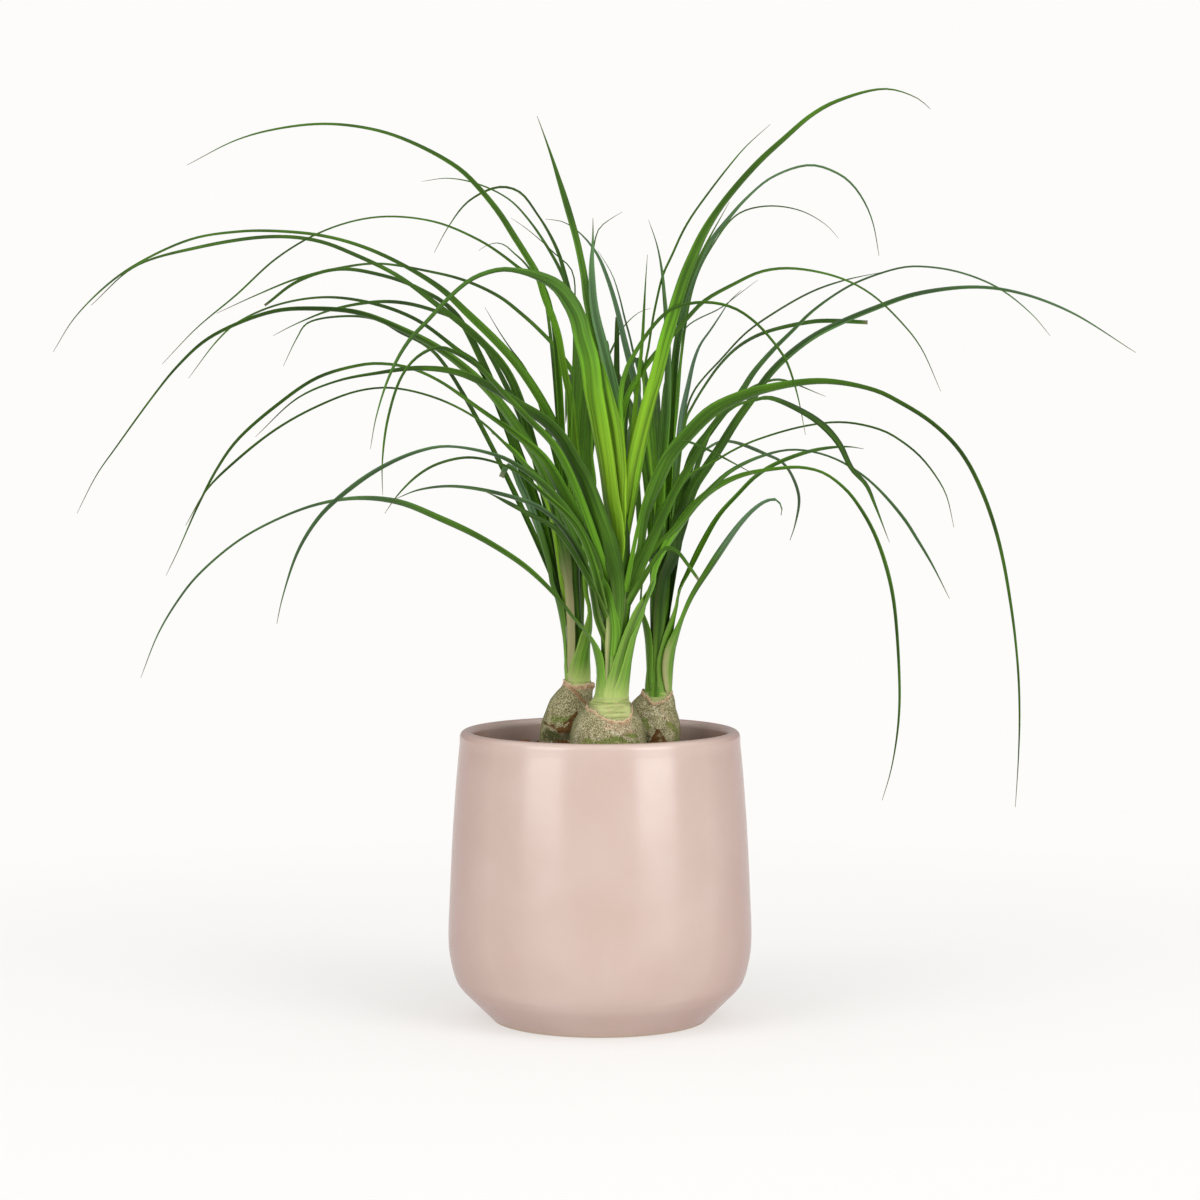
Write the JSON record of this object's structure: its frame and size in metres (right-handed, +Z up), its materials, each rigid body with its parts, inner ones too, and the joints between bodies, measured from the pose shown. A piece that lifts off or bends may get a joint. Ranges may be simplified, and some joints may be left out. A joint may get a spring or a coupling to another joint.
{
  "type": "potted ponytail palm",
  "caption": "Young ponytail palms with swollen corky bases and long arching leaves, growing together in a rounded dusty-pink ceramic pot.",
  "frame": {"origin": "centre of the pot's flat underside, on the surface that it stands on", "axes": "+Z up; +X to the right and +Y away from the viewer when the largest of the plants stands in front"},
  "size_m": [0.5441, 0.4061, 0.461],
  "materials": {
    "pot_glaze": "satin",
    "potting_soil": "matte",
    "corky_bark": "matte",
    "dry_husk": "matte",
    "leaf": "satin"
  },
  "bodies": {
    "root": {"pot": "pot_glaze", "soil": "potting_soil", "caudex_front": "corky_bark", "caudex_left": "corky_bark", "caudex_right": "corky_bark", "husk_front": "dry_husk", "husk_left": "dry_husk", "husk_right": "dry_husk", "leaves_front": "leaf", "leaves_left": "leaf", "leaves_right": "leaf"}
  },
  "joints": []
}
